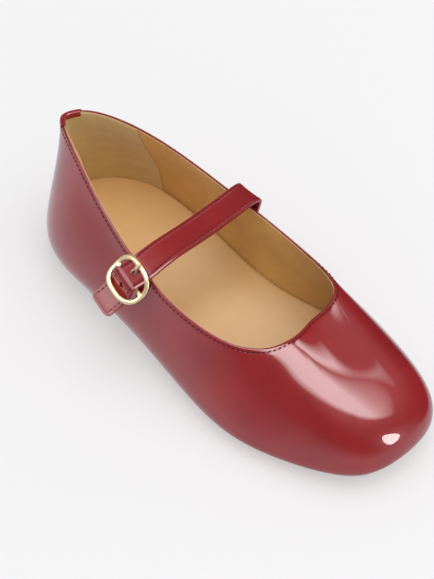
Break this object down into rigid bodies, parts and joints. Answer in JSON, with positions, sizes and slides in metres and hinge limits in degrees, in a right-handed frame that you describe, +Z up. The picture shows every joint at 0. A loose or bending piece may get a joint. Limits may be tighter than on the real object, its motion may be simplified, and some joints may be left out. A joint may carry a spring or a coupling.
{
  "type": "mary jane shoe",
  "caption": "Flat mary jane shoe for the right foot in red patent leather, with a soft squared toe, a wide low throat, one strap over the instep and a centre-bar buckle on the outer side.",
  "frame": {"origin": "middle of the overall box, on the floor", "axes": "+Z up, toe to -Y, heel to +Y, inner (medial) side of the foot to +X, buckle on the outer side at -X"},
  "size_m": [0.0996, 0.2328, 0.0715],
  "materials": {
    "patent": "deep red patent leather, mirror gloss",
    "sock_leather": "smooth tan leather, satin",
    "outsole": "brown composition sole, matt",
    "heel": "dark brown heel block, matt",
    "pale_brass": "pale gold plated, polished"
  },
  "bodies": {
    "root": {"upper": "patent", "strap": "patent", "buckle_tab": "patent", "insole": "sock_leather", "outsole": "outsole", "heel": "heel", "buckle": "pale_brass", "buckle_prong": "pale_brass"}
  },
  "joints": []
}
